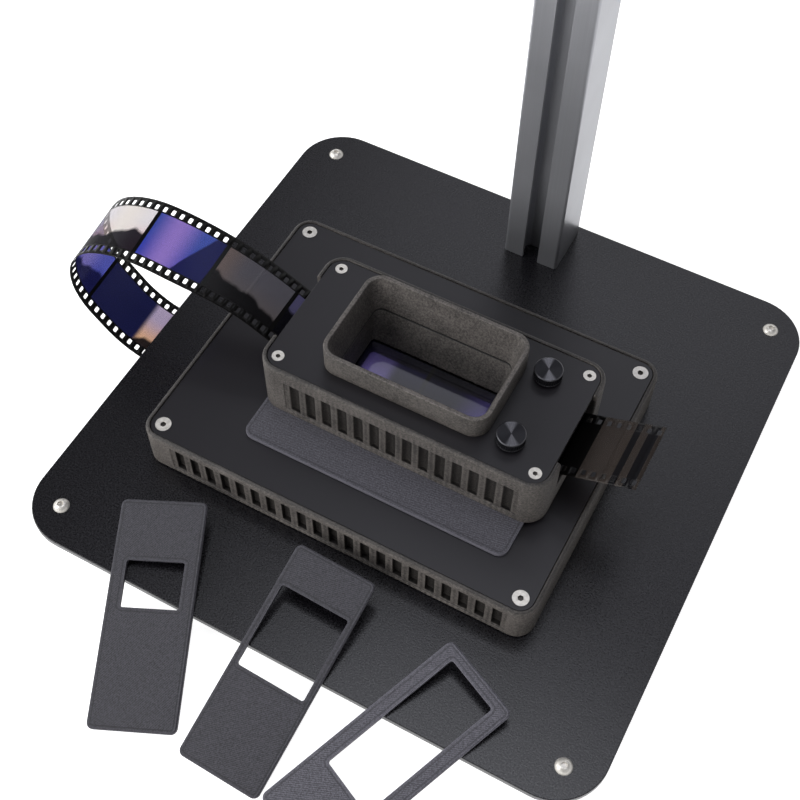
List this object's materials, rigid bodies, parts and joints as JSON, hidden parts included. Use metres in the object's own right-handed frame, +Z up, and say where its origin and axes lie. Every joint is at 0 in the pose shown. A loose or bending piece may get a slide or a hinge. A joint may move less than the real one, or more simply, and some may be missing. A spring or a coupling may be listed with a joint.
{
  "type": "film negative copy stand",
  "caption": "Copy stand for photographing film negatives: board with grooved column and camera arm, light box, film carrier with hood, film strip and loose masks.",
  "frame": {"origin": "middle of the square board, on the floor plane under the rubber feet", "axes": "+X along the film to the right as seen from the front, +Y back towards the column, +Z up"},
  "size_m": [0.3317, 0.3604, 0.459],
  "materials": {
    "board": "black laminate with a fine pebble grain",
    "foot_rubber": "moulded rubber",
    "stainless": "plain stainless fasteners",
    "column_metal": "silver anodised extrusion",
    "black_plastic": "black moulding",
    "black_coat": "black powder coat",
    "brass_pad": "plain brass",
    "printed_body": "printed plastic, warm grey, fine layer lines",
    "printed_mask": "printed plastic, dark grey, fine diagonal lines",
    "pad_rubber": "thin rubber discs",
    "plate_black": "matte black plate",
    "diffuser": "opal sheet, satin",
    "lamp_board": "white solder mask",
    "lamp_chips": "yellow phosphor",
    "button_red": "dark red push button",
    "bed_black": "matte black plastic",
    "knob_black": "black anodised, knurled, bright chamfer",
    "film_base": "35 mm film, translucent"
  },
  "bodies": {
    "base": {"base_board": "board", "board_feet": "foot_rubber", "foot_screws": "stainless", "column": "column_metal", "column_cap": "black_plastic", "column_bolt": "stainless", "column_washer": "stainless"},
    "carriage": {"camera_carriage": "black_coat", "carriage_pad": "brass_pad", "camera_arm": "black_coat", "arm_screws": "stainless"},
    "carriage_clamp_knob": {"carriage_knob": "black_plastic"},
    "camera_thumbscrew": {"camera_screw": "stainless"},
    "light_box": {"light_box_body": "printed_body", "light_pads": "pad_rubber", "light_top_plate": "plate_black", "light_plate_screws": "stainless", "light_diffuser": "diffuser", "led_board": "lamp_board", "led_chips": "lamp_chips", "power_socket": "black_plastic", "power_switch": "black_plastic"},
    "button": {"power_button": "button_red"},
    "insert": {"insert_mask": "printed_mask"},
    "carrier": {"carrier_body": "printed_body", "carrier_top_plate": "plate_black", "carrier_plate_screws": "stainless", "film_bed": "bed_black", "film_bed_screws": "stainless", "film_well": "printed_body"},
    "front_knob": {"knob_front": "knob_black"},
    "back_knob": {"knob_back": "knob_black"},
    "hood_part": {"hood": "printed_body"},
    "film": {"film_strip": "film_base"},
    "left_mask": {"mask_left": "printed_mask"},
    "middle_mask": {"mask_middle": "printed_mask"},
    "right_mask": {"mask_right": "printed_mask"}
  },
  "joints": [
    {"name": "carriage_slide", "type": "slide", "parent": "base", "child": "carriage", "axis": [0, 0, 1], "range_m": [-0.2, 0.03]},
    {"name": "carriage_knob_turn", "type": "hinge", "parent": "carriage", "child": "carriage_clamp_knob", "pos_m": [0.0374, 0.126, 0.394], "axis": [1, 0, 0], "continuous": true},
    {"name": "camera_screw_turn", "type": "hinge", "parent": "carriage", "child": "camera_thumbscrew", "pos_m": [0, 0.043, 0.381], "axis": [0, 1, 0], "continuous": true},
    {"name": "light_box_lift", "type": "slide", "parent": "base", "child": "light_box", "axis": [0, 0, 1], "range_m": [0, 0.05]},
    {"name": "power_button_press", "type": "slide", "parent": "light_box", "child": "button", "axis": [0, -1, 0], "range_m": [0, 0.0015], "stiffness_N_per_m": 800, "springref_m": -0.0005},
    {"name": "insert_slide", "type": "slide", "parent": "light_box", "child": "insert", "axis": [0, 1, 0], "range_m": [-0.018, 0.026]},
    {"name": "carrier_lift", "type": "slide", "parent": "light_box", "child": "carrier", "axis": [0, 0, 1], "range_m": [0, 0.05]},
    {"name": "knob_front_turn", "type": "hinge", "parent": "carrier", "child": "front_knob", "pos_m": [0.0512, -0.0295, 0.075], "axis": [0, 0, 1], "continuous": true},
    {"name": "knob_back_turn", "type": "hinge", "parent": "carrier", "child": "back_knob", "pos_m": [0.0512, 0.0087, 0.075], "axis": [0, 0, 1], "continuous": true},
    {"name": "hood_lift", "type": "slide", "parent": "carrier", "child": "hood_part", "axis": [0, 0, 1], "range_m": [0, 0.03]},
    {"name": "film_slide", "type": "slide", "parent": "carrier", "child": "film", "axis": [1, 0, 0], "range_m": [-0.008, 0.008]},
    {"name": "mask_left_lift", "type": "slide", "parent": "base", "child": "left_mask", "axis": [0, 0, 1], "range_m": [0, 0.05]},
    {"name": "mask_middle_lift", "type": "slide", "parent": "base", "child": "middle_mask", "axis": [0, 0, 1], "range_m": [0, 0.05]},
    {"name": "mask_right_lift", "type": "slide", "parent": "base", "child": "right_mask", "axis": [0, 0, 1], "range_m": [0, 0.05]}
  ]
}
